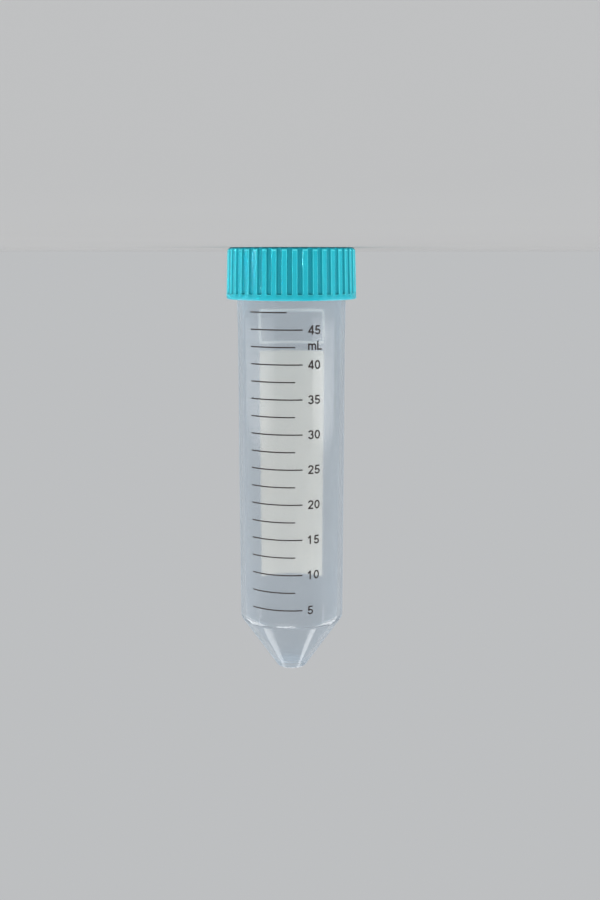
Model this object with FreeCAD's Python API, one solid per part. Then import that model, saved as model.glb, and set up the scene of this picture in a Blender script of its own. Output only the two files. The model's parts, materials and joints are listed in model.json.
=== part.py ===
"""A 50 ml conical centrifuge tube with its screw cap, standing upside down on the cap.

Two mouldings: the polypropylene tube, with its conical end, plain barrel and threaded neck, and the
polyethylene screw cap, with its finger grooves and the ring that plugs the mouth.

Both are drawn the way they are used, with the outside of the tip at the origin and the cap at the top.
Then both are turned over about the Y axis, because the tube can't stand on its tip and rolls when it
lies, but stands on the cap's flat top. The side that carries the scale faces -Y before and after.
Lengths are in millimetres.
"""
import FreeCAD, Part
import math
import os

# --- Barrel and cone of the tube, outside ---------------------------------------------------------
TUBE_LENGTH = 114.5        # tip to rim
BARREL_RADIUS = 14.40      # the even stretch that a rack or a rotor holds
BARREL_TAPER = 0.25        # how much smaller the radius is at the shoulder
TAPER_TOP = 66.0           # height where the taper ends and the even stretch starts
CONE_HEIGHT = 14.7         # tip to shoulder, measured to the sharp corners
TIP_RADIUS = 3.8           # flat under the tip, measured to its sharp corner
SHOULDER_ROUNDING = 2.3
TIP_ROUNDING = 0.9

# --- Neck ---------------------------------------------------------------------------------------
NECK_STEP = 0.15           # how much larger the neck's radius is than the barrel's
NECK_LENGTH = 14.9         # rim down to the step
NECK_STEP_LENGTH = 1.5     # the step's slope down to the barrel
RIM_ROUNDING = 0.35

# --- Walls, which make the bore -------------------------------------------------------------------
NECK_WALL = 1.12           # at the rim
SHOULDER_WALL = 1.47       # at the foot of the barrel
CONE_WALL = 1.5            # square to the cone
TIP_THICKNESS = 2.2        # under the lowest point of the bore
BORE_SHOULDER_ROUNDING = 2.0
BORE_TIP_ROUNDING = 1.6

# --- Thread on the neck, right-handed --------------------------------------------------------------
THREAD_HEIGHT = 0.7        # from the neck to the crest
THREAD_PITCH = 3.2
THREAD_TURNS = 2.0
THREAD_ROOT_WIDTH = 1.5
THREAD_CREST_WIDTH = 0.6
THREAD_TOP_GAP = 2.4       # from the rim to the middle of the thread's upper end
THREAD_ROOT_DEPTH = 0.3    # how far the swept ridge is sunk into the neck
THREAD_END_DEPTH = 0.1     # how far each end has sunk under the neck's surface where it stops
THREAD_FADE = 28.0         # degrees over which each end grows out of the neck

# --- Cap ------------------------------------------------------------------------------------------
CAP_HEIGHT = 13.6
CAP_TOP_THICKNESS = 1.5
CAP_WALL = 1.92            # at the open edge, from the bore to the outside
CAP_TAPER = 0.37           # how much smaller the outside radius is at the top
CAP_TOP_ROUNDING = 1.1
CAP_EDGE_ROUNDING = 0.45
CAP_MOUTH_CHAMFER = 0.5    # inside the open edge
THREAD_CLEARANCE = 0.25    # between the thread's crest and the cap's bore

# --- Finger grooves in the cap ----------------------------------------------------------------------
GROOVE_COUNT = 40
GROOVE_PHASE = -1.2        # degrees from the middle of the scale's side to the middle of the nearest groove
GROOVE_MOUTH_WIDTH = 1.30
GROOVE_FLOOR_WIDTH = 1.05
GROOVE_DEPTH = 0.58
GROOVE_BAND = 1.35         # plain band between the open edge and the grooves' lower ends
GROOVE_RUNOUT = 0.5        # length of the sloping lower end
CUTTER_OVERHANG = 1.0      # how far the groove's cutter stands out of the cap

# --- Plug ring under the cap's top -------------------------------------------------------------------
PLUG_CLEARANCE = 0.12      # between the ring and the bore, at the rim
PLUG_TAPER = 0.25          # how much smaller the ring's outside is at its lower end
PLUG_DEPTH = 2.6
PLUG_WALL = 1.0
PLUG_ROUNDING = 0.3

# --- Worked out from the sizes above -------------------------------------------------------------------
SHOULDER_RADIUS = BARREL_RADIUS - BARREL_TAPER
NECK_RADIUS = BARREL_RADIUS + NECK_STEP
NECK_BOTTOM = TUBE_LENGTH - NECK_LENGTH
MOUTH_BORE_RADIUS = NECK_RADIUS - NECK_WALL
CONE_BORE_RADIUS = SHOULDER_RADIUS - SHOULDER_WALL
CONE_SLOPE = (SHOULDER_RADIUS - TIP_RADIUS) / CONE_HEIGHT
THREAD_CREST_RADIUS = NECK_RADIUS + THREAD_HEIGHT
THREAD_BOTTOM = TUBE_LENGTH - THREAD_TOP_GAP - THREAD_PITCH * THREAD_TURNS
OVERALL_LENGTH = TUBE_LENGTH + CAP_TOP_THICKNESS
CAP_BOTTOM = OVERALL_LENGTH - CAP_HEIGHT
CAP_BORE_RADIUS = THREAD_CREST_RADIUS + THREAD_CLEARANCE
CAP_LOWER_RADIUS = CAP_BORE_RADIUS + CAP_WALL
CAP_UPPER_RADIUS = CAP_LOWER_RADIUS - CAP_TAPER
PLUG_RADIUS = MOUTH_BORE_RADIUS - PLUG_CLEARANCE

SCALE_SIDE = -90           # degrees from +X to the side that carries the scale
ORIGIN = FreeCAD.Vector(0, 0, 0)
UPRIGHT = FreeCAD.Vector(0, 0, 1)


def corner_arc(before, corner, after, rounding):
    """Where a rounded corner starts, its middle point and where it ends."""
    towards_before = (before - corner).normalize()
    towards_after = (after - corner).normalize()
    half_angle = towards_before.getAngle(towards_after) / 2
    reach = rounding / math.tan(half_angle)
    centre = corner + (towards_before + towards_after).normalize() * (rounding / math.sin(half_angle))
    middle = centre + (corner - centre).normalize() * rounding
    return corner + towards_before * reach, middle, corner + towards_after * reach


def in_section(radius, height):
    """A point of the half section, which is drawn in the XZ plane."""
    return FreeCAD.Vector(radius, 0, height)


def turned(outline):
    """The solid that a closed outline of (radius, height, rounding) corners sweeps around the axis."""
    corners = [in_section(radius, height) for radius, height, _ in outline]
    bends = []
    for i, (_, _, rounding) in enumerate(outline):
        before, corner, after = corners[i - 1], corners[i], corners[(i + 1) % len(corners)]
        bends.append(corner_arc(before, corner, after, rounding) if rounding else (corner, None, corner))
    edges = []
    for i, (start, middle, end) in enumerate(bends):
        if middle:
            edges.append(Part.Arc(start, middle, end).toShape())
        next_start = bends[(i + 1) % len(bends)][0]
        edges.append(Part.LineSegment(end, next_start).toShape())
    section = Part.Face(Part.Wire(edges))
    return section.revolve(ORIGIN, UPRIGHT, 360)


# --- The tube ---------------------------------------------------------------------------------------

def inner_cone_radius(height):
    """Radius of the inner cone, which lies CONE_WALL inside the outer one."""
    return TIP_RADIUS + CONE_SLOPE * height - CONE_WALL * math.sqrt(1 + CONE_SLOPE**2)


def bore_shoulder_height():
    """Height at which the inner cone has grown to the bore's radius there."""
    return (CONE_BORE_RADIUS - inner_cone_radius(0)) / CONE_SLOPE


def tube_body():
    return turned([
        (0, 0, 0),
        (TIP_RADIUS, 0, TIP_ROUNDING),
        (SHOULDER_RADIUS, CONE_HEIGHT, SHOULDER_ROUNDING),
        (BARREL_RADIUS, TAPER_TOP, 0),
        (BARREL_RADIUS, NECK_BOTTOM - NECK_STEP_LENGTH, 0),
        (NECK_RADIUS, NECK_BOTTOM, 0),
        (NECK_RADIUS, TUBE_LENGTH, RIM_ROUNDING),
        (MOUTH_BORE_RADIUS, TUBE_LENGTH, RIM_ROUNDING),
        (CONE_BORE_RADIUS, bore_shoulder_height(), BORE_SHOULDER_ROUNDING),
        (inner_cone_radius(TIP_THICKNESS), TIP_THICKNESS, BORE_TIP_ROUNDING),
        (0, TIP_THICKNESS, 0),
    ])


def thread_ridge():
    """The helical ridge, with blunt ends, swept along the neck from +X at its lower end."""
    root = NECK_RADIUS - THREAD_ROOT_DEPTH
    corners = [
        in_section(root, THREAD_BOTTOM - THREAD_ROOT_WIDTH / 2),
        in_section(THREAD_CREST_RADIUS, THREAD_BOTTOM - THREAD_CREST_WIDTH / 2),
        in_section(THREAD_CREST_RADIUS, THREAD_BOTTOM + THREAD_CREST_WIDTH / 2),
        in_section(root, THREAD_BOTTOM + THREAD_ROOT_WIDTH / 2),
    ]
    section = Part.makePolygon(corners + corners[:1])
    helix = Part.makeHelix(THREAD_PITCH, THREAD_PITCH * THREAD_TURNS, NECK_RADIUS)
    helix.translate(FreeCAD.Vector(0, 0, THREAD_BOTTOM))
    return Part.Wire(helix.Edges).makePipeShell([section], True, True)


def fade_cutter(turn):
    """What is taken off one end of the ridge, so that it rises out of the neck over THREAD_FADE degrees.

    It is the outside of an offset cylinder, which lies in the neck's surface at the ridge's end and
    reaches the crest at THREAD_FADE from it, kept to the height of that one end.
    """
    fade = math.radians(THREAD_FADE)
    end_radius = NECK_RADIUS - THREAD_END_DEPTH
    offset = (THREAD_CREST_RADIUS**2 - end_radius**2) / (
        2 * (end_radius - THREAD_CREST_RADIUS * math.cos(fade)))
    climb = THREAD_PITCH * THREAD_FADE / 360
    low = THREAD_BOTTOM + THREAD_PITCH * turn - THREAD_ROOT_WIDTH / 2 - climb
    height = THREAD_ROOT_WIDTH + 2 * climb
    half_width = THREAD_CREST_RADIUS * math.sin(fade)
    block = Part.makeBox(
        THREAD_CREST_RADIUS, 2 * half_width, height,
        FreeCAD.Vector(end_radius / 2, -half_width, low))
    round_bar = Part.makeCylinder(end_radius + offset, height, FreeCAD.Vector(-offset, 0, low))
    cutter = block.cut(round_bar)
    cutter.rotate(ORIGIN, UPRIGHT, 360 * turn)
    return cutter


def neck_thread():
    return thread_ridge().cut([fade_cutter(0), fade_cutter(THREAD_TURNS)])


def make_tube():
    return tube_body().fuse(neck_thread()).removeSplitter()


# --- The cap ----------------------------------------------------------------------------------------

def cap_body():
    ceiling = TUBE_LENGTH
    plug_bottom = ceiling - PLUG_DEPTH
    plug_lower_radius = PLUG_RADIUS - PLUG_TAPER
    return turned([
        (0, OVERALL_LENGTH, 0),
        (CAP_UPPER_RADIUS, OVERALL_LENGTH, CAP_TOP_ROUNDING),
        (CAP_LOWER_RADIUS, CAP_BOTTOM, CAP_EDGE_ROUNDING),
        (CAP_BORE_RADIUS + CAP_MOUTH_CHAMFER, CAP_BOTTOM, 0),
        (CAP_BORE_RADIUS, CAP_BOTTOM + CAP_MOUTH_CHAMFER, 0),
        (CAP_BORE_RADIUS, ceiling, 0),
        (PLUG_RADIUS, ceiling, 0),
        (plug_lower_radius, plug_bottom, PLUG_ROUNDING),
        (plug_lower_radius - PLUG_WALL, plug_bottom, PLUG_ROUNDING),
        (PLUG_RADIUS - PLUG_WALL, ceiling, 0),
        (0, ceiling, 0),
    ])


def groove_outline(height, depth):
    """The closed outline of one finger groove at a height, as deep as depth and open to the outside."""
    surface = CAP_LOWER_RADIUS - CAP_TAPER * (height - CAP_BOTTOM) / CAP_HEIGHT
    flare = (GROOVE_MOUTH_WIDTH - GROOVE_FLOOR_WIDTH) / GROOVE_DEPTH
    floor_half = GROOVE_FLOOR_WIDTH / 2
    outer_half = floor_half + flare * (depth + CUTTER_OVERHANG) / 2
    corners = [
        FreeCAD.Vector(surface - depth, -floor_half, height),
        FreeCAD.Vector(surface + CUTTER_OVERHANG, -outer_half, height),
        FreeCAD.Vector(surface + CUTTER_OVERHANG, outer_half, height),
        FreeCAD.Vector(surface - depth, floor_half, height),
    ]
    return Part.makePolygon(corners + corners[:1])


def groove_cutter():
    """What one finger groove takes away, at +X: a drafted bar whose lower end slopes out to the surface."""
    runout_bottom = CAP_BOTTOM + GROOVE_BAND
    floor_bottom = runout_bottom + GROOVE_RUNOUT
    lower_end = groove_outline(runout_bottom, 0)
    full_depth = groove_outline(floor_bottom, GROOVE_DEPTH)
    upper_end = groove_outline(OVERALL_LENGTH + CUTTER_OVERHANG, GROOVE_DEPTH)
    runout = Part.makeLoft([lower_end, full_depth], True, True)
    bar = Part.makeLoft([full_depth, upper_end], True, True)
    return bar.fuse(runout).removeSplitter()


def make_cap():
    cutter = groove_cutter()
    cutters = []
    for i in range(GROOVE_COUNT):
        copy = cutter.copy()
        copy.rotate(ORIGIN, UPRIGHT, SCALE_SIDE + GROOVE_PHASE + 360 / GROOVE_COUNT * i)
        cutters.append(copy)
    return cap_body().cut(cutters)


# --- Standing on the cap ------------------------------------------------------------------------------

def on_its_cap():
    """The placement that turns the upright pieces over, so that the cap's flat top lies at height 0."""
    return FreeCAD.Placement(UPRIGHT * OVERALL_LENGTH, FreeCAD.Rotation(FreeCAD.Vector(0, 1, 0), 180))


def main():
    os.makedirs("parts", exist_ok=True)
    for name, shape in (("tube", make_tube()), ("cap", make_cap())):
        solid = shape.Solids[0]
        solid.Placement = on_its_cap()
        solid.exportStep(f"parts/{name}.step")
        print(name, "solids", len(shape.Solids), "valid", solid.isValid(),
              "volume", round(solid.Volume, 1), "mm3")


main()
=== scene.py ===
"""The looks of a 50 ml conical tube: the hazy moulded tube with its printed scale, and its grooved screw cap.

Both mouldings are drawn in millimetres the way they are used, with the outside of the tip at the origin and
the cap at the top. Each finished mesh is then turned over onto the cap's flat top, as the part stands, and
brought to metres. The side that carries the scale faces -Y before and after. The camera is turned over
with them, so that it sees the cap at the top.
"""
import json
import math

import bmesh
import bpy
from mathutils import Matrix, Vector
from mathutils.geometry import delaunay_2d_cdt


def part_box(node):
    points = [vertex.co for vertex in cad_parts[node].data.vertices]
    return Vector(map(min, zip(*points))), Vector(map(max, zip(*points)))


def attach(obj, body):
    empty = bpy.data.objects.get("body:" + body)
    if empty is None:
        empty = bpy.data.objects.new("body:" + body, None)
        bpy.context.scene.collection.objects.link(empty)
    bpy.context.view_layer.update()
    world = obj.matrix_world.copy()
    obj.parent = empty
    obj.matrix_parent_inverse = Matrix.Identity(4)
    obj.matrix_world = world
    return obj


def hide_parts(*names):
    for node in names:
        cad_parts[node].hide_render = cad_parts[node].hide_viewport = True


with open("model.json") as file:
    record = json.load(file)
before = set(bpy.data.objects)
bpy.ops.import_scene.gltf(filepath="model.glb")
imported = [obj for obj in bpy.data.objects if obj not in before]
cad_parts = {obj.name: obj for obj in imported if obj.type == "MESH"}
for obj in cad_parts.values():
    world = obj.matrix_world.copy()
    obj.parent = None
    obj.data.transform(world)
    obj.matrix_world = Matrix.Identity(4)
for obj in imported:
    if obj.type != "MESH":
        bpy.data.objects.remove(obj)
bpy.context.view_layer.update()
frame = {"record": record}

MM = 0.001                 # metres
TURN = math.tau

# --- Sizes from the frame, in millimetres ---
cap_low, cap_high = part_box("cap")
tube_low, tube_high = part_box("tube")
mounts = {mount["name"]: mount for mount in frame["record"]["mounts"]}
OVERALL_LENGTH = (tube_high.z - cap_low.z) / MM
TUBE_LENGTH = (tube_high.z - tube_low.z) / MM
CAP_HEIGHT = (cap_high.z - cap_low.z) / MM
CAP_WIDEST_RADIUS = cap_high.x / MM
BARREL_RADIUS = mounts["rack_hole"]["dims"]["r_mm"]

# --- Tube, outside ---
BARREL_TAPER = 0.25        # how much smaller the radius is at the shoulder
TAPER_TOP = 66.0           # height where the taper ends
CONE_HEIGHT = 14.7         # to the shoulder's sharp corner
TIP_RADIUS = 3.8
SHOULDER_ROUNDING = 2.3
TIP_ROUNDING = 0.9
NECK_STEP = 0.15           # how much larger the neck's radius is than the barrel's
NECK_LENGTH = 14.9
NECK_STEP_LENGTH = 9.0     # drawn out, so that it doesn't bend what is seen through it
NECK_STEP_ROUNDING = 200.0
RIM_ROUNDING = 0.35

# --- Tube, inside ---
NECK_WALL = 1.12
SHOULDER_WALL = 1.47
CONE_WALL = 1.5
TIP_THICKNESS = 2.2
BORE_SHOULDER_ROUNDING = 2.0
BORE_TIP_ROUNDING = 1.6

# --- Thread, right-handed ---
THREAD_HEIGHT = 0.7
THREAD_PITCH = 3.2
THREAD_TURNS = 2.0
THREAD_ROOT_WIDTH = 1.5
THREAD_CREST_WIDTH = 0.6
THREAD_TOP_GAP = 2.4       # from the rim to the middle of the ridge's upper end
THREAD_FADE = 28 / 360     # turn over which each end grows out of the wall
THREAD_ROW = 0.1           # spacing of the mesh rows that carry the ridge
CAP_THREAD_HEIGHT = 0.65
CAP_THREAD_DROP = 1.05     # how far the cap's ridge lies under the tube's, which it pulls on

# --- Cap ---
CAP_TAPER = 0.37
CAP_TOP_ROUNDING = 1.1
CAP_EDGE_ROUNDING = 0.45
CAP_MOUTH_CHAMFER = 0.5
THREAD_CLEARANCE = 0.25
CAP_EDGE_JOIN = 0.3        # width of the flat edge's ring between the outer and the inner skin
GROOVE_COUNT = 40
GROOVE_PHASE = -1.2        # degrees from the middle of the scale's side to the nearest groove
GROOVE_MOUTH_WIDTH = 1.30
GROOVE_FLOOR_WIDTH = 1.05
GROOVE_DEPTH = 0.58
GROOVE_BAND = 1.35         # plain band between the open edge and the grooves' ends
GROOVE_RUNOUT = 0.5
GROOVE_LIP = 0.20          # how far a groove's edges are rounded into the lands
GROOVE_FLANK_COLUMNS = 6   # mesh columns across each flank
PLUG_CLEARANCE = 0.12
PLUG_TAPER = 0.25
PLUG_DEPTH = 2.6
PLUG_WALL = 1.0
PLUG_ROUNDING = 0.3

# --- Print on the tube: lengths in millimetres, places round it in degrees from the scale's middle ---
FIRST_VOLUME = 5.0         # ml at the lowest line
FIRST_LINE_HEIGHT = 19.73
SCALE_STEP = 2.5           # ml between lines
NUMBERED_STEP = 5.0        # ml between the long lines, which are numbered
SCALE_TOP = 47.5
MARKED_VOLUME = 997.0      # cubic millimetres that the scale gives to 1 ml, within its tolerance
LINE_START = -47.0
LONG_LINE_END = 12.0
SHORT_LINE_END = 4.2
TOP_LINE_END = -4.5
LINE_WIDTH = 0.33
NUMBER_START = 17.8
NUMBER_SIZE = 2.38
LETTER_WEIGHT = 0.165      # the pen's width, as a share of the letters' height
LETTER_GAP = 0.08
BOW_STEP = 20              # degrees between the points of a letter's bows
SHARPEST_MITRE = 0.5       # least cosine that a mitre is drawn out for
UNIT_BETWEEN = (40.0, 45.0)
UNIT_LIFT = 0.5            # of the unit over the middle between those two numbers
PATCH_HALF_WIDTH = 10.6
PATCH_LOW = 22.8
PATCH_HIGH = 87.5
PATCH_CORNER = 0.3
FRAME_LOW = 89.5
FRAME_HIGH = 99.1
FRAME_WIDTH = 0.65
FRAME_CORNER = 1.1
PRINT_FILM = 0.02          # how far the ink stands out
PRINT_KEY = 0.01           # how far it is keyed into the wall
PRINT_COLUMN = 0.45        # width of the columns that a print is cut into to bend

# --- Worked out from the sizes above ---
SHOULDER_RADIUS = BARREL_RADIUS - BARREL_TAPER
NECK_RADIUS = BARREL_RADIUS + NECK_STEP
NECK_BOTTOM = TUBE_LENGTH - NECK_LENGTH
MOUTH_BORE_RADIUS = NECK_RADIUS - NECK_WALL
CONE_BORE_RADIUS = SHOULDER_RADIUS - SHOULDER_WALL
CONE_SLOPE = (SHOULDER_RADIUS - TIP_RADIUS) / CONE_HEIGHT
CONE_INSIDE_OFFSET = TIP_RADIUS - CONE_WALL * math.hypot(1, CONE_SLOPE)
BORE_SHOULDER_HEIGHT = (CONE_BORE_RADIUS - CONE_INSIDE_OFFSET) / CONE_SLOPE
BORE_TIP_RADIUS = CONE_INSIDE_OFFSET + CONE_SLOPE * TIP_THICKNESS
THREAD_BOTTOM = TUBE_LENGTH - THREAD_TOP_GAP - THREAD_PITCH * THREAD_TURNS
CAP_BOTTOM = OVERALL_LENGTH - CAP_HEIGHT
CAP_LOWER_RADIUS = CAP_WIDEST_RADIUS + CAP_TAPER * CAP_EDGE_ROUNDING / CAP_HEIGHT
CAP_UPPER_RADIUS = CAP_LOWER_RADIUS - CAP_TAPER
CAP_BORE_RADIUS = NECK_RADIUS + THREAD_HEIGHT + THREAD_CLEARANCE
PLUG_RADIUS = MOUTH_BORE_RADIUS - PLUG_CLEARANCE

SCALE_SIDE = math.radians(-90)     # from +X round to the side that carries the scale
ROUND_STEPS = 240                  # mesh columns round the tube and the cap's inside
ROUNDING_STEP = 0.12               # millimetres of a rounding's radius for each of its segments
LEAST_SEGMENTS, MOST_SEGMENTS = 4, 20      # across one rounding
SHARP_ANGLE = 50                   # degrees between faces, over which their edge is shaded sharp
EVEN_WEIGHT = 60                   # how strongly large faces rule the shading of their edges
SMALL = 1e-4                       # millimetres, under which two points are one

# From the tube as drawn to the tube as it stands: turned over onto the cap's top, and in metres
STANDING = (
    Matrix.Translation((0, 0, OVERALL_LENGTH * MM)) @ Matrix.Rotation(math.pi, 4, "Y") @ Matrix.Scale(MM, 4))


# --- Tools ---

def outline_wire(corners):
    """A half section as a wire in the XZ plane, from (radius, height, rounding) corners."""
    bm = bmesh.new()
    places = [Vector((radius, 0, height)) for radius, height, _ in corners]
    verts = [bm.verts.new(place) for place in places]
    for start, end in zip(verts, verts[1:]):
        bm.edges.new((start, end))
    for i, (_, _, rounding) in enumerate(corners):
        if rounding:
            half_angle = (places[i - 1] - places[i]).angle(places[i + 1] - places[i]) / 2
            segments = min(max(LEAST_SEGMENTS, round(rounding / ROUNDING_STEP)), MOST_SEGMENTS)
            bmesh.ops.bevel(
                bm, geom=[verts[i]], offset=rounding / math.tan(half_angle), offset_type="OFFSET",
                segments=segments, profile=0.5, affect="VERTICES", material=-1, clamp_overlap=False)
    return bm


def cut_rows(bm, least_radius, low, high, spacing):
    """Cuts the long edges of a wire that lie outside a radius and between two heights into rows."""
    for edge in bm.edges[:]:
        outside = all(vert.co.x > least_radius - SMALL for vert in edge.verts)
        between = all(low - SMALL < vert.co.z < high + SMALL for vert in edge.verts)
        rows = round(edge.calc_length() / spacing)
        if outside and between and rows > 1:
            bmesh.ops.subdivide_edges(bm, edges=[edge], cuts=rows - 1)


def spin(bm, geometry, angle, steps, **options):
    """Spins geometry by an angle round the tube's axis, and gives its last copy."""
    return bmesh.ops.spin(
        bm, geom=geometry, cent=(0, 0, 0), axis=(0, 0, 1), dvec=(0, 0, 0), angle=angle, steps=steps,
        **options)["geom_last"]


def turn_about_axis(bm, angle):
    """Turns a whole mesh round the tube's axis."""
    bmesh.ops.rotate(bm, cent=(0, 0, 0), matrix=Matrix.Rotation(angle, 3, "Z"), verts=bm.verts)


def spin_round(bm):
    """Spins a half section once round the tube's axis and closes its seam and its poles."""
    spin(bm, bm.verts[:] + bm.edges[:], TURN, ROUND_STEPS, use_merge=True)
    bmesh.ops.remove_doubles(bm, verts=bm.verts, dist=SMALL)


def smooth(share):
    """A share held between 0 and 1, with a gentle start and end."""
    share = min(max(share, 0), 1)
    return share * share * (3 - 2 * share)


def rise_of_ridge(vert, bottom):
    """How far out of its wall a thread's ridge stands at a point, as a share of its full height."""
    turn = math.atan2(vert.co.y, vert.co.x) / TURN % 1
    rise = 0
    for whole in range(math.ceil(THREAD_TURNS)):
        along = turn + whole
        if along < THREAD_TURNS:
            off_centre = abs(vert.co.z - bottom - THREAD_PITCH * along)
            flank = (THREAD_ROOT_WIDTH / 2 - off_centre) / ((THREAD_ROOT_WIDTH - THREAD_CREST_WIDTH) / 2)
            fade = min(along, THREAD_TURNS - along, THREAD_FADE) / THREAD_FADE
            rise = max(rise, smooth(flank) * smooth(fade))
    return rise


def raise_thread(bm, radius, bottom, height):
    """Draws a wall's mesh rows out, or in with a negative height, into a helical ridge."""
    top = bottom + THREAD_PITCH * THREAD_TURNS
    for vert in bm.verts:
        on_wall = abs(vert.co.xy.length - radius) < SMALL
        if on_wall and bottom - THREAD_ROOT_WIDTH < vert.co.z < top + THREAD_ROOT_WIDTH:
            factor = 1 + height * rise_of_ridge(vert, bottom) / radius
            vert.co.x *= factor
            vert.co.y *= factor


def mesh_object(name, bm, material):
    """The object at the origin that a mesh becomes, with one material."""
    mesh = bpy.data.meshes.new(name)
    bm.to_mesh(mesh)
    bm.free()
    mesh.materials.append(material)
    made = bpy.data.objects.new(name, mesh)
    bpy.context.scene.collection.objects.link(made)
    return made


def finished(name, bm, body, material):
    """The piece that a mesh becomes: turned over to stand, in metres, smooth, and riding on its body."""
    bmesh.ops.transform(bm, matrix=STANDING, verts=bm.verts)
    piece = mesh_object(name, bm, material)
    for face in piece.data.polygons:
        face.use_smooth = True
    piece.data.set_sharp_from_angle(angle=math.radians(SHARP_ANGLE))
    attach(piece, body)
    return piece


def keep_flats_even(piece):
    """Shades flat stretches flat up to their roundings."""
    even = piece.modifiers.new("even_flats", "WEIGHTED_NORMAL")
    even.keep_sharp = True
    even.weight = EVEN_WEIGHT


# --- Shader maths ---

class Value:
    """A socket in a finish's nodes. The signs + - * and ** on it add Math nodes."""

    def __init__(self, finish, socket):
        self.finish = finish
        self.socket = socket

    def math(self, operation, first, second):
        return self.finish.node("ShaderNodeMath", {"operation": operation}, {0: first, 1: second})

    def __add__(self, other):
        return self.math("ADD", self, other)

    def __radd__(self, other):
        return self.math("ADD", other, self)

    def __sub__(self, other):
        return self.math("SUBTRACT", self, other)

    def __mul__(self, other):
        return self.math("MULTIPLY", self, other)

    def __rmul__(self, other):
        return self.math("MULTIPLY", other, self)

    def __pow__(self, other):
        return self.math("POWER", self, other)


class Finish:
    """A material and its nodes."""

    def __init__(self, name):
        self.material = bpy.data.materials.new(name)
        self.material.use_nodes = True
        self.tree = self.material.node_tree
        self.tree.nodes.clear()

    def node(self, kind, settings, inputs, output=0):
        """Adds a node, sets it up, fills or links its inputs and returns one of its outputs."""
        made = self.tree.nodes.new(kind)
        for name, setting in settings.items():
            if name == "stops":
                for _ in setting[2:]:
                    made.color_ramp.elements.new(1)
                for stop, (place, colour) in zip(made.color_ramp.elements, setting):
                    stop.position = place
                    stop.color = colour
            else:
                setattr(made, name, setting)
        for name, value in inputs.items():
            if isinstance(value, Value):
                self.tree.links.new(value.socket, made.inputs[name])
            else:
                made.inputs[name].default_value = value
        return Value(self, made.outputs[output])

    def position(self):
        """The place on the piece, in metres."""
        return self.node("ShaderNodeTexCoord", {}, {}, "Object")

    def noise(self, size, detail=3.0, stretch=(1, 1, 1)):
        """A cloudy value round a half, with features of a size in millimetres, stretched along an axis."""
        place = self.node(
            "ShaderNodeMapping", {}, {"Vector": self.position(), "Scale": [1 / length for length in stretch]})
        return self.node(
            "ShaderNodeTexNoise", {}, {"Vector": place, "Scale": 1 / (size * MM), "Detail": detail})

    def blend(self, share, first, second):
        """A mix of two colours."""
        return self.node("ShaderNodeMix", {"data_type": "RGBA"}, {0: share, 6: first, 7: second}, 2)

    def bump(self, height, depth):
        """A normal for a height of 0 to 1 that stands for a depth in millimetres."""
        return self.node("ShaderNodeBump", {}, {"Height": height, "Distance": depth * MM, "Strength": 1.0})

    def mix(self, share, first, second):
        """A mix of two shaders."""
        return self.node("ShaderNodeMixShader", {}, {0: share, 1: first, 2: second})

    def path(self, name):
        """Whether a ray is of a kind."""
        return self.node("ShaderNodeLightPath", {}, {}, name)

    def done(self, shader):
        """The finished material, which shows a shader."""
        out = self.tree.nodes.new("ShaderNodeOutputMaterial")
        self.tree.links.new(shader.socket, out.inputs["Surface"])
        return self.material


# --- Finishes ---

POLYPROPYLENE_IOR = 1.46
CLEAR_TINT = (0.82, 0.85, 0.875, 1)
MILKY_COLOUR = (0.42, 0.49, 0.555, 1)
LIT_THROUGH_COLOUR = (0.40, 0.48, 0.55, 1)
SHADOW_TINT = (0.98, 0.985, 0.99, 1)       # of the light that passes through the tube

# Shares of the tube's milky veil, which add up
VEIL_EVERYWHERE = 0.07
VEIL_TURNED = 0.36         # grows with the square of how edge on the wall is seen
VEIL_OUTLINE = 0.40        # grows with its seventh power
VEIL_TIP = 0.30
VEIL_STREAKS = 0.05
THICK_TIP = 5.0            # millimetres from the tip over which the plastic gets milkier

SCALE_BLACKS = ((0.012, 0.007, 0.006, 1), (0.028, 0.018, 0.016, 1))
INK_SHADE = 0.95           # of the white ink's brightness where its film is thinnest
INK_LIT_THROUGH = 0.42     # share of the white ink's light that comes from behind

# Each white ink's colour where it is lit from its own side, and from behind
PATCH_WHITES = ((0.93, 0.90, 0.84), (0.95, 0.90, 0.82))
FRAME_WHITES = ((0.95, 0.95, 0.93), (0.95, 0.93, 0.90))

CAP_MOTTLE = ((0.90, 0.94, 0.95, 1), (1, 1, 1, 1))
# The grooves' painted highlight and painted shade stop this far over their ends
CAP_PAINTED_LIGHT_MARGIN = 0.1    # millimetres over the grooves' ends where their colours stop

# The cap's colour at shares of the grooves' depth, from its skin, over a groove's lip, to the floor:
# the pale lips are a painted highlight, and the darker flanks and floors are painted shade
CAP_PAINTED_LIGHT_COLOURS = (
    (0.000, (0.010, 0.40, 0.485, 1)),
    (0.008, (0.010, 0.40, 0.485, 1)),
    (0.060, (0.110, 0.78, 0.84, 1)),
    (0.300, (0.025, 0.48, 0.56, 1)),
    (0.600, (0.005, 0.31, 0.38, 1)),
)


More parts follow.
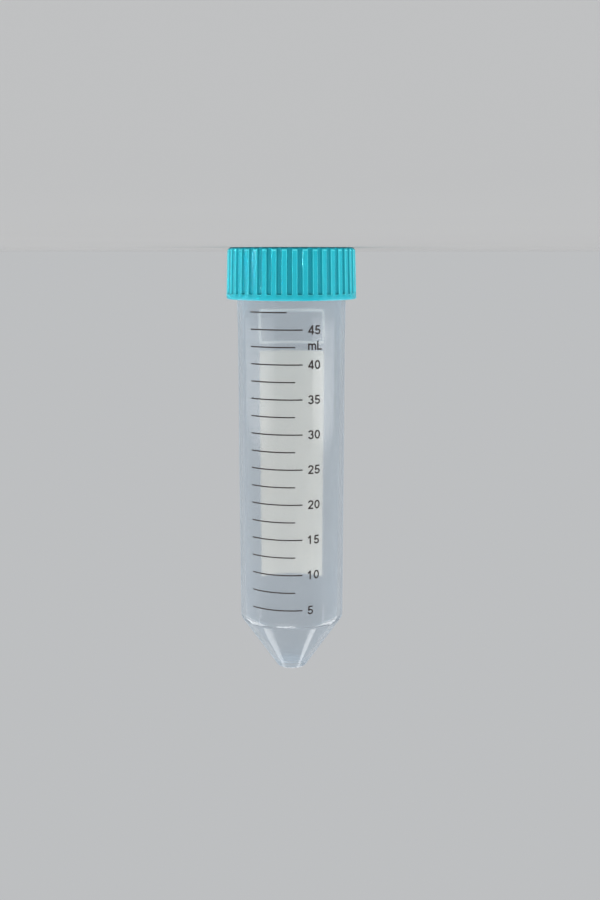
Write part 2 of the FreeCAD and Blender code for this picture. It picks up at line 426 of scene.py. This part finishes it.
def natural_polypropylene():
    """Clear plastic under a milky, bluish veil that is denser where the wall is seen edge on."""
    finish = Finish("natural_polypropylene")
    flow = finish.noise(6, stretch=(1, 1, 8))
    skin = finish.noise(0.35, detail=2.0)
    waves = finish.noise(3.5, stretch=(1, 1, 14))
    normal = finish.bump(skin * 0.15 + waves, 0.020)
    edge_on = finish.node("ShaderNodeLayerWeight", {}, {"Blend": 0.5, "Normal": normal}, "Facing")
    height = finish.node("ShaderNodeSeparateXYZ", {}, {"Vector": finish.position()}, "Z")
    tip = finish.node("ShaderNodeMapRange", {"interpolation_type": "SMOOTHSTEP"}, {
        "Value": height, "From Min": (OVERALL_LENGTH - THICK_TIP) * MM, "From Max": OVERALL_LENGTH * MM})
    veil = (
        VEIL_EVERYWHERE + VEIL_TURNED * edge_on ** 2 + VEIL_OUTLINE * edge_on ** 7
        + VEIL_TIP * tip + VEIL_STREAKS * (flow - 0.5))
    clear = finish.node("ShaderNodeBsdfPrincipled", {}, {
        "Base Color": CLEAR_TINT, "Roughness": 0.10, "IOR": POLYPROPYLENE_IOR, "Transmission Weight": 1.0,
        "Normal": normal})
    milky = finish.node("ShaderNodeBsdfPrincipled", {}, {
        "Base Color": MILKY_COLOUR, "Roughness": 0.35, "IOR": POLYPROPYLENE_IOR, "Normal": normal})
    lit_through = finish.node("ShaderNodeBsdfTranslucent", {}, {"Color": LIT_THROUGH_COLOUR})
    seen = finish.mix(veil, clear, finish.mix(0.5, milky, lit_through))
    passing = finish.node("ShaderNodeBsdfTransparent", {}, {"Color": SHADOW_TINT})
    for_bounces = finish.mix(finish.path("Is Diffuse Ray"), seen, passing)
    return finish.done(finish.mix(finish.path("Is Shadow Ray"), for_bounces, passing))


def coloured_polyethylene():
    """Opaque blue-green plastic with a satin, grained skin, with a painted highlight on the grooves' lips and
    painted shade in the grooves.
    """
    finish = Finish("blue_green_polyethylene")
    mottle = finish.noise(2.2)
    grain = finish.noise(0.12, detail=2.0)
    flow = finish.noise(1.1, stretch=(1, 1, 9))
    place = finish.node("ShaderNodeSeparateXYZ", {}, {"Vector": finish.position()}, "Z")
    skin = (CAP_UPPER_RADIUS + CAP_TAPER / CAP_HEIGHT * (place * (1 / MM))) * MM
    from_axis = finish.node("ShaderNodeVectorMath", {"operation": "LENGTH"}, {
        0: finish.node("ShaderNodeVectorMath", {"operation": "MULTIPLY"}, {
            0: finish.position(), 1: (1, 1, 0)})}, "Value")
    grooved = finish.node("ShaderNodeMath", {"operation": "LESS_THAN"}, {
        0: place, 1: (CAP_HEIGHT - GROOVE_BAND + CAP_PAINTED_LIGHT_MARGIN) * MM})
    sunk = (skin - from_axis) * grooved * (1 / (GROOVE_DEPTH * MM))
    # Painted light by depth under the skin: a painted highlight on the grooves' lips, painted shade on their
    # flanks and floors
    painted_light_colour = finish.node("ShaderNodeValToRGB", {"stops": CAP_PAINTED_LIGHT_COLOURS}, {"Fac": sunk}, "Color")
    colour = finish.node("ShaderNodeMix", {"data_type": "RGBA", "blend_type": "MULTIPLY"}, {
        0: 1.0, 6: painted_light_colour, 7: finish.blend(mottle, *CAP_MOTTLE)}, 2)
    roughness = 0.27 + 0.14 * grain
    return finish.done(finish.node("ShaderNodeBsdfPrincipled", {}, {
        "Base Color": colour, "Roughness": roughness, "IOR": 1.51, "Specular IOR Level": 0.3,
        "Subsurface Weight": 0.2, "Subsurface Radius": (0.3, 1.0, 1.1), "Subsurface Scale": 0.4 * MM,
        "Normal": finish.bump(grain * 0.5 + flow, 0.010)}))


def scale_ink():
    """Dark brown-black screen ink, a little uneven in depth."""
    finish = Finish("scale_ink")
    film = finish.noise(0.25)
    colour = finish.blend(film, *SCALE_BLACKS)
    return finish.done(finish.node("ShaderNodeBsdfPrincipled", {}, {
        "Base Color": colour, "Roughness": 0.45 + 0.2 * film, "IOR": 1.4,
        "Normal": finish.bump(film, 0.006)}))


def patch_ink(name, pale, light_through):
    """White screen ink with the fine mottle of its mesh, so thin that it is lit through from behind."""
    finish = Finish(name)
    film = finish.noise(0.5)
    cloud = finish.noise(7)
    thin = tuple(channel * INK_SHADE for channel in pale)
    colour = finish.blend(film * 0.5 + cloud * 0.5, thin + (1,), pale + (1,))
    surface = finish.node("ShaderNodeBsdfPrincipled", {}, {
        "Base Color": colour, "Roughness": 0.55 + 0.15 * film, "IOR": 1.5,
        "Normal": finish.bump(film, 0.008)})
    lit_through = finish.node("ShaderNodeBsdfTranslucent", {}, {"Color": light_through + (1,)})
    return finish.done(finish.mix(INK_LIT_THROUGH, surface, lit_through))


# --- The tube ---

def tube_moulding():
    """The hollow tube, outside and inside in one skin, with its thread."""
    bm = outline_wire([
        (0, 0, 0),
        (TIP_RADIUS, 0, TIP_ROUNDING),
        (SHOULDER_RADIUS, CONE_HEIGHT, SHOULDER_ROUNDING),
        (BARREL_RADIUS, TAPER_TOP, 0),
        (BARREL_RADIUS, NECK_BOTTOM - NECK_STEP_LENGTH, NECK_STEP_ROUNDING),
        (NECK_RADIUS, NECK_BOTTOM, NECK_STEP_ROUNDING),
        (NECK_RADIUS, TUBE_LENGTH, RIM_ROUNDING),
        (MOUTH_BORE_RADIUS, TUBE_LENGTH, RIM_ROUNDING),
        (CONE_BORE_RADIUS, BORE_SHOULDER_HEIGHT, BORE_SHOULDER_ROUNDING),
        (BORE_TIP_RADIUS, TIP_THICKNESS, BORE_TIP_ROUNDING),
        (0, TIP_THICKNESS, 0),
    ])
    cut_rows(bm, NECK_RADIUS, NECK_BOTTOM, TUBE_LENGTH, THREAD_ROW)
    spin_round(bm)
    raise_thread(bm, NECK_RADIUS, THREAD_BOTTOM, THREAD_HEIGHT)
    bmesh.ops.recalc_face_normals(bm, faces=bm.faces)
    return bm


# --- The print on the tube ---

def outside_radius(height):
    """The barrel's outside radius at a height above the shoulder."""
    if height < TAPER_TOP:
        return SHOULDER_RADIUS + BARREL_TAPER * (height - CONE_HEIGHT) / (TAPER_TOP - CONE_HEIGHT)
    step = (height - NECK_BOTTOM + NECK_STEP_LENGTH) / NECK_STEP_LENGTH
    return BARREL_RADIUS + NECK_STEP * min(max(step, 0), 1)


def flat_rectangle(bm, left, right, low, high):
    """A flat print of a rectangle, drawn in the XY plane. Returns its corners."""
    made = bmesh.ops.create_grid(bm, x_segments=1, y_segments=1, size=0.5)["verts"]
    bmesh.ops.scale(bm, vec=(right - left, high - low, 1), verts=made)
    bmesh.ops.translate(bm, vec=((left + right) / 2, (low + high) / 2, 0), verts=made)
    return made


def cut_flat(bm, place, across):
    """Cuts a flat print along a plane."""
    bmesh.ops.bisect_plane(
        bm, geom=bm.verts[:] + bm.edges[:] + bm.faces[:], dist=SMALL, plane_co=place, plane_no=across)


def wrap_print(bm, side):
    """Wraps flat prints round the tube, X from a side's angle and Y up it, and gives them their film."""
    left = min(vert.co.x for vert in bm.verts)
    right = max(vert.co.x for vert in bm.verts)
    cuts = math.ceil((right - left) / PRINT_COLUMN)
    for i in range(1, cuts):
        place = left + (right - left) * i / cuts
        cut_flat(bm, (place, 0, 0), (1, 0, 0))
    for height in (TAPER_TOP, NECK_BOTTOM - NECK_STEP_LENGTH):
        cut_flat(bm, (0, height, 0), (0, 1, 0))
    raised = bmesh.ops.extrude_face_region(bm, geom=bm.faces[:])["geom"]
    film_top = {item for item in raised if isinstance(item, bmesh.types.BMVert)}
    for vert in bm.verts:
        radius = outside_radius(vert.co.y) + (PRINT_FILM if vert in film_top else -PRINT_KEY)
        angle = side + vert.co.x / BARREL_RADIUS
        vert.co = (radius * math.cos(angle), radius * math.sin(angle), vert.co.y)
    bmesh.ops.recalc_face_normals(bm, faces=bm.faces)


def bore_area(height):
    """The bore's section at a height above its shoulder."""
    share = (height - BORE_SHOULDER_HEIGHT) / (TUBE_LENGTH - BORE_SHOULDER_HEIGHT)
    return math.pi * (CONE_BORE_RADIUS + share * (MOUTH_BORE_RADIUS - CONE_BORE_RADIUS)) ** 2


def scale_heights():
    """The height of each line of the scale, by its volume in ml: the lines stand where the bore holds it."""
    heights = {}
    volume, height = FIRST_VOLUME, FIRST_LINE_HEIGHT
    while volume < SCALE_TOP + SCALE_STEP / 2:
        heights[volume] = height
        middle = height + SCALE_STEP / 2 * MARKED_VOLUME / bore_area(height)
        height += SCALE_STEP * MARKED_VOLUME / bore_area(middle)
        volume += SCALE_STEP
    return heights


def along_print(degrees):
    """Where a place that is some degrees round from the print's middle lies along the flat print."""
    return math.radians(degrees) * BARREL_RADIUS


def scale_lines(heights):
    """The scale's lines: long at the numbers, short between them, and the top one shorter still."""
    bm = bmesh.new()
    for volume, height in heights.items():
        if volume == SCALE_TOP:
            end = TOP_LINE_END
        else:
            end = SHORT_LINE_END if volume % NUMBERED_STEP else LONG_LINE_END
        flat_rectangle(
            bm, along_print(LINE_START), along_print(end), height - LINE_WIDTH / 2, height + LINE_WIDTH / 2)
    wrap_print(bm, SCALE_SIDE)
    return bm


def bow(x, y, half_width, half_height, start, end):
    """A pen line round part of an oval, between two angles in degrees, clockwise where the end is lower."""
    steps = math.ceil(abs(end - start) / BOW_STEP)
    angles = [math.radians(start + (end - start) * i / steps) for i in range(steps + 1)]
    return [(x + half_width * math.cos(angle), y + half_height * math.sin(angle)) for angle in angles]


# Pen lines of each letter, for letters of height 1 and a pen of LETTER_WEIGHT, and each letter's width
LETTERS = {
    "0": ([bow(0.35, 0.5, 0.26, 0.42, 90, -270)], 0.70),
    "1": ([[(0.31, 0), (0.31, 1)], [(0.04, 0.70), (0.19, 0.79), (0.31, 0.95)]], 0.65),
    "2": ([bow(0.345, 0.69, 0.25, 0.235, 172, -32) + [(0.11, 0.09)], [(0.03, 0.08), (0.66, 0.08)]], 0.70),
    "3": ([bow(0.33, 0.715, 0.235, 0.205, 165, -90), bow(0.34, 0.295, 0.26, 0.215, 90, -168)], 0.70),
    "4": ([[(0.50, 0), (0.50, 1)], [(0.02, 0.28), (0.68, 0.28)], [(0.07, 0.29), (0.47, 0.93)]], 0.70),
    "5": ([[(0.62, 0.92), (0.19, 0.92), (0.12, 0.48)], bow(0.34, 0.32, 0.26, 0.24, 150, -165)], 0.70),
    "m": ([[(0.08, 0), (0.08, 0.73)]] + [
        bow(x + 0.20, 0.46, 0.20, 0.19, 180, 0) + [(x + 0.40, 0)] for x in (0.08, 0.48)], 1.00),
    "L": ([[(0.08, 1), (0.08, 0.08), (0.62, 0.08)]], 0.66),
}


def pen_quads(line, weight):
    """The quads that a pen of some weight covers along a line, mitred at its bends."""
    points = [Vector(point) for point in line]
    sides = []
    for i, point in enumerate(points):
        before = (point - points[i - 1]).normalized() if i else None
        after = (points[i + 1] - point).normalized() if i + 1 < len(points) else before
        before = before or after
        across = (before + after).normalized().orthogonal()
        reach = weight / 2 / max(across.dot(before.orthogonal()), SHARPEST_MITRE)
        sides.append((point + across * reach, point - across * reach))
    return [[b[0], a[0], a[1], b[1]] for a, b in zip(sides, sides[1:])]


def add_text(bm, text, left, middle, size):
    """Adds letters to a flat print, from a left edge and round a middle height."""
    place = left
    for letter in text:
        lines, width = LETTERS[letter]
        quads = [quad for line in lines for quad in pen_quads(line, LETTER_WEIGHT)]
        corners = [corner for quad in quads for corner in quad]
        faces = [range(i, i + 4) for i in range(0, len(corners), 4)]
        points, _, triangles, _, _, covered_by = delaunay_2d_cdt(corners, [], faces, 1, SMALL)
        verts = [bm.verts.new((place + x * size, middle + (y - 0.5) * size, 0)) for x, y in points]
        for triangle, quads_there in zip(triangles, covered_by):
            if quads_there:
                bm.faces.new([verts[i] for i in triangle])
        place += (width + LETTER_GAP) * size
    bmesh.ops.delete(bm, geom=[vert for vert in bm.verts if not vert.link_faces], context="VERTS")


def scale_numbers(heights):
    """The numbers at the long lines, and the unit."""
    bm = bmesh.new()
    left = along_print(NUMBER_START)
    for volume, height in heights.items():
        if volume % NUMBERED_STEP == 0:
            add_text(bm, f"{volume:.0f}", left, height, NUMBER_SIZE)
    below, above = (heights[volume] for volume in UNIT_BETWEEN)
    add_text(bm, "mL", left, (above + below) / 2 + UNIT_LIFT, NUMBER_SIZE)
    wrap_print(bm, SCALE_SIDE)
    return bm


def rounded_panel(low, high, corner, segments):
    """A flat print as wide as the writing patch, with rounded corners."""
    bm = bmesh.new()
    corners = flat_rectangle(bm, -PATCH_HALF_WIDTH, PATCH_HALF_WIDTH, low, high)
    bmesh.ops.bevel(
        bm, geom=corners, offset=corner, offset_type="OFFSET", segments=segments, profile=0.5,
        affect="VERTICES", material=-1)
    return bm


def writing_patch():
    """The filled patch on the side across from the scale."""
    bm = rounded_panel(PATCH_LOW, PATCH_HIGH, PATCH_CORNER, 4)
    wrap_print(bm, SCALE_SIDE + math.pi)
    return bm


def label_frame():
    """The empty rounded frame over the writing patch."""
    bm = rounded_panel(FRAME_LOW, FRAME_HIGH, FRAME_CORNER, 6)
    inner = bm.faces[:]
    bmesh.ops.inset_region(bm, faces=inner, thickness=FRAME_WIDTH, use_boundary=True, use_even_offset=True)
    bmesh.ops.delete(bm, geom=inner, context="FACES")
    wrap_print(bm, SCALE_SIDE + math.pi)
    return bm


# --- The cap ---

def skin_radius(height):
    """The cap's outside radius at a height, without the grooves and the roundings."""
    return CAP_LOWER_RADIUS - CAP_TAPER * (height - CAP_BOTTOM) / CAP_HEIGHT


def flank_angles():
    """Angles from a groove's middle to the foot of its flank and to the rounded lip's outer edge."""
    foot = (GROOVE_FLOOR_WIDTH - GROOVE_LIP) / 2 / CAP_LOWER_RADIUS
    lip = (GROOVE_MOUTH_WIDTH + 2 * GROOVE_LIP) / 2 / CAP_LOWER_RADIUS
    return foot, lip


def groove_share(angle, height):
    """How deep the groove round angle 0 is at a point, as a share of its full depth."""
    foot, lip = flank_angles()
    across = (lip - abs(angle)) / (lip - foot)
    along = (height - CAP_BOTTOM - GROOVE_BAND) / GROOVE_RUNOUT
    from_floor = math.hypot(1 - min(max(across, 0), 1), 1 - min(max(along, 0), 1))
    return smooth(1 - from_floor)


def groove_cell():
    """One groove with half a land on each side, with +X through the groove's middle."""
    runout_bottom = CAP_BOTTOM + GROOVE_BAND
    floor_bottom = runout_bottom + GROOVE_RUNOUT
    bm = outline_wire([
        (0, OVERALL_LENGTH, 0),
        (CAP_UPPER_RADIUS, OVERALL_LENGTH, CAP_TOP_ROUNDING),
        (skin_radius(floor_bottom), floor_bottom, 0),
        (skin_radius(runout_bottom), runout_bottom, 0),
        (CAP_LOWER_RADIUS, CAP_BOTTOM, CAP_EDGE_ROUNDING),
        (CAP_BORE_RADIUS + CAP_MOUTH_CHAMFER + CAP_EDGE_JOIN, CAP_BOTTOM, 0),
    ])
    cut_rows(bm, CAP_UPPER_RADIUS, runout_bottom, floor_bottom, GROOVE_RUNOUT / GROOVE_FLANK_COLUMNS)
    foot, lip = flank_angles()
    half_pitch = TURN / GROOVE_COUNT / 2
    flank = [foot + (lip - foot) * i / GROOVE_FLANK_COLUMNS for i in range(GROOVE_FLANK_COLUMNS + 1)]
    columns = [0] + flank + [(lip + half_pitch) / 2, half_pitch]
    columns = [-angle for angle in columns[:0:-1]] + columns
    turn_about_axis(bm, columns[0])
    edge = bm.verts[:] + bm.edges[:]
    for start, end in zip(columns, columns[1:]):
        edge = spin(bm, edge, end - start, 1)
    bmesh.ops.remove_doubles(bm, verts=bm.verts, dist=SMALL)
    for vert in bm.verts:
        radius = vert.co.xy.length
        share = groove_share(math.atan2(vert.co.y, vert.co.x), vert.co.z)
        sunk = skin_radius(vert.co.z) - GROOVE_DEPTH * share
        if SMALL < sunk < radius:
            vert.co.x *= sunk / radius
            vert.co.y *= sunk / radius
    return bm


def grooved_skin():
    """The cap's top and outside, made of one groove's cell after another."""
    bm = groove_cell()
    others = GROOVE_COUNT - 1
    cell = bm.verts[:] + bm.edges[:] + bm.faces[:]
    spin(bm, cell, TURN * others / GROOVE_COUNT, others, use_duplicate=True)
    bmesh.ops.remove_doubles(bm, verts=bm.verts, dist=SMALL)
    turn_about_axis(bm, SCALE_SIDE + math.radians(GROOVE_PHASE))
    return bm


def cap_lining():
    """The cap's inside: chamfered mouth, threaded bore, ceiling and plug ring."""
    ceiling = TUBE_LENGTH
    plug_bottom = ceiling - PLUG_DEPTH
    plug_lower_radius = PLUG_RADIUS - PLUG_TAPER
    bm = outline_wire([
        (CAP_BORE_RADIUS + CAP_MOUTH_CHAMFER, CAP_BOTTOM, 0),
        (CAP_BORE_RADIUS, CAP_BOTTOM + CAP_MOUTH_CHAMFER, 0),
        (CAP_BORE_RADIUS, ceiling, 0),
        (PLUG_RADIUS, ceiling, 0),
        (plug_lower_radius, plug_bottom, PLUG_ROUNDING),
        (plug_lower_radius - PLUG_WALL, plug_bottom, PLUG_ROUNDING),
        (PLUG_RADIUS - PLUG_WALL, ceiling, 0),
        (0, ceiling, 0),
    ])
    cut_rows(bm, CAP_BORE_RADIUS, CAP_BOTTOM + CAP_MOUTH_CHAMFER, ceiling, THREAD_ROW)
    spin_round(bm)
    raise_thread(bm, CAP_BORE_RADIUS, THREAD_BOTTOM - CAP_THREAD_DROP, -CAP_THREAD_HEIGHT)
    return bm


def cap_moulding():
    """The grooved skin and the lining, joined round the open edge."""
    bm = grooved_skin()
    lining = bpy.data.meshes.new("lining")
    inner = cap_lining()
    inner.to_mesh(lining)
    inner.free()
    bm.from_mesh(lining)
    bpy.data.meshes.remove(lining)
    rings = [edge for edge in bm.edges if edge.is_boundary]
    bmesh.ops.bridge_loops(bm, edges=rings)
    bmesh.ops.recalc_face_normals(bm, faces=bm.faces)
    return bm


# --- Floor, light and camera ---

STUDIO_GREY = (0.51, 0.52, 0.53, 1)
WORLD_COLOUR = (0.95, 0.97, 1.0, 1)
WORLD_STRENGTH = 0.48
FLOOR_GREYS = ((0.312, 0.312, 0.312, 1), (0.326, 0.326, 0.326, 1))
FLOOR_RADIUS = 3.0
FLOOR_FADE = (0.12, 0.6)      # metres from the middle over which the floor goes over into the backdrop
FLOOR_GAP = 0.02 * MM         # under the cap, so that the two faces don't lie in one plane
CAMERA_DISTANCE = 325.7 * MM
CAMERA_HEIGHT = 2.0 * MM
CAMERA_TILT = 9.21            # degrees that the view is tipped towards the tip
CAMERA_SIDESTEP = 2.31 * MM
CAMERA_LENS = 48.1
CAMERA_SENSOR = 36            # its width in millimetres
CAMERA_REACH = (1 * MM, 20)   # nearest and farthest that it sees, in metres
MIDDLE = (0, 0, OVERALL_LENGTH * MM / 2)
BY_THE_FLOOR = (0, 0, -0.02)
ALL_ROUND = 180               # degrees

# Each lamp's name, place, aim, width and height in metres, watts, spread in degrees and whether gloss
# mirrors it. Left and right are as the camera has them. It is turned over, so left is +X.
LAMPS = (
    ("left_softbox", (0.80, 0.10, 0.58), MIDDLE, (0.8, 0.4), 5.0, ALL_ROUND, True),
    ("right_softbox", (-0.80, 0.10, 0.58), MIDDLE, (0.8, 0.4), 5.0, ALL_ROUND, True),
    ("front_softbox", (0.25, -1.1, 0.90), MIDDLE, (1.0, 0.6), 14.5, ALL_ROUND, True),
    ("back_softbox", (0.0, 0.75, 1.05), MIDDLE, (0.8, 0.5), 4.0, ALL_ROUND, True),
    ("left_strip", (0.40, 0.25, 1.00), MIDDLE, (0.14, 0.22), 0.27, ALL_ROUND, True),
    ("right_strip", (-0.352, 0.174, 1.00), MIDDLE, (0.10, 0.14), 0.19, ALL_ROUND, True),
    ("left_low_strip", (0.873, -0.218, 0.145), MIDDLE, (1.51, 0.10), 0.35, 100, True),
    ("right_low_strip", (-0.869, -0.233, 0.145), MIDDLE, (1.04, 0.10), 0.26, 84, True),
    ("left_cap_lamp", (0.773, -0.207, 0.02), BY_THE_FLOOR, (0.10, 0.03), 0.012, 8, False),
    ("right_cap_lamp", (-0.773, -0.207, 0.02), BY_THE_FLOOR, (0.10, 0.03), 0.012, 8, False),
)


def add_floor():
    """A matte floor that goes over into the backdrop."""
    finish = Finish("studio_floor")
    worn = finish.noise(40)
    surface = finish.node("ShaderNodeBsdfPrincipled", {}, {
        "Base Color": finish.blend(worn, *FLOOR_GREYS), "Roughness": 0.9, "Specular IOR Level": 0.0})
    from_middle = finish.node(
        "ShaderNodeVectorMath", {"operation": "LENGTH"}, {0: finish.position()}, "Value")
    far = finish.node("ShaderNodeMapRange", {"interpolation_type": "SMOOTHSTEP"}, {
        "Value": from_middle, "From Min": FLOOR_FADE[0], "From Max": FLOOR_FADE[1]})
    backdrop = finish.node("ShaderNodeEmission", {}, {"Color": STUDIO_GREY, "Strength": 1.0})
    material = finish.done(finish.mix(far, surface, backdrop))
    bm = bmesh.new()
    bmesh.ops.create_circle(bm, cap_ends=True, segments=96, radius=FLOOR_RADIUS)
    bmesh.ops.translate(bm, verts=bm.verts, vec=(0, 0, -FLOOR_GAP))
    floor = mesh_object("studio_floor", bm, material)


def add_lamp(name, place, aim, size, power, spread, mirrored):
    """A lamp with a box's soft light, which the camera and the clear plastic don't see."""
    light = bpy.data.lights.new(name, "AREA")
    light.shape = "RECTANGLE"
    light.size, light.size_y = size
    light.energy = power
    light.spread = math.radians(spread)
    lamp = bpy.data.objects.new(name, light)
    lamp.location = place
    lamp.rotation_euler = (Vector(aim) - Vector(place)).to_track_quat("-Z", "Y").to_euler()
    lamp.visible_camera = False
    lamp.visible_transmission = False
    lamp.visible_glossy = mirrored
    bpy.context.scene.collection.objects.link(lamp)


def add_world():
    """Soft light from all round. What looks at the world itself sees the plain backdrop."""
    world = bpy.data.worlds.new("studio")
    bpy.context.scene.world = world
    world.use_nodes = True
    nodes, links = world.node_tree.nodes, world.node_tree.links
    nodes.clear()
    path = nodes.new("ShaderNodeLightPath")
    seen = nodes.new("ShaderNodeBackground")
    seen.inputs["Color"].default_value = STUDIO_GREY
    lighting = nodes.new("ShaderNodeBackground")
    lighting.inputs["Color"].default_value = WORLD_COLOUR
    lighting.inputs["Strength"].default_value = WORLD_STRENGTH
    looking = path.outputs["Is Camera Ray"]
    for ray in ("Is Glossy Ray", "Is Transmission Ray"):
        either = nodes.new("ShaderNodeMath")
        either.operation = "MAXIMUM"
        links.new(looking, either.inputs[0])
        links.new(path.outputs[ray], either.inputs[1])
        looking = either.outputs[0]
    mix = nodes.new("ShaderNodeMixShader")
    links.new(looking, mix.inputs[0])
    links.new(lighting.outputs[0], mix.inputs[1])
    links.new(seen.outputs[0], mix.inputs[2])
    out = nodes.new("ShaderNodeOutputWorld")
    links.new(mix.outputs[0], out.inputs["Surface"])


def add_camera():
    """The camera, just over the floor and turned over."""
    camera = bpy.data.cameras.new("camera")
    camera.lens = CAMERA_LENS
    camera.sensor_width = CAMERA_SENSOR
    camera.clip_start, camera.clip_end = CAMERA_REACH
    holder = bpy.data.objects.new("camera", camera)
    holder.location = (-CAMERA_SIDESTEP, -CAMERA_DISTANCE, CAMERA_HEIGHT)
    holder.rotation_euler = (math.radians(90 - CAMERA_TILT), math.pi, 0)
    bpy.context.scene.collection.objects.link(holder)
    bpy.context.scene.camera = holder


# --- Putting it together ---

tube = finished("tube_moulding", tube_moulding(), "tube", natural_polypropylene())
keep_flats_even(tube)
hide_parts("tube")
heights = scale_heights()
ink = scale_ink()
finished("scale_lines", scale_lines(heights), "tube", ink)
finished("scale_numbers", scale_numbers(heights), "tube", ink)
patch_white = patch_ink("patch_ink", *PATCH_WHITES)
frame_white = patch_ink("frame_ink", *FRAME_WHITES)
finished("writing_patch", writing_patch(), "tube", patch_white)
finished("label_frame", label_frame(), "tube", frame_white)
cap = finished("cap_moulding", cap_moulding(), "cap", coloured_polyethylene())
keep_flats_even(cap)
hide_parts("cap")

add_floor()
add_world()
for lamp in LAMPS:
    add_lamp(*lamp)
add_camera()
bpy.context.scene.view_settings.view_transform = "Standard"
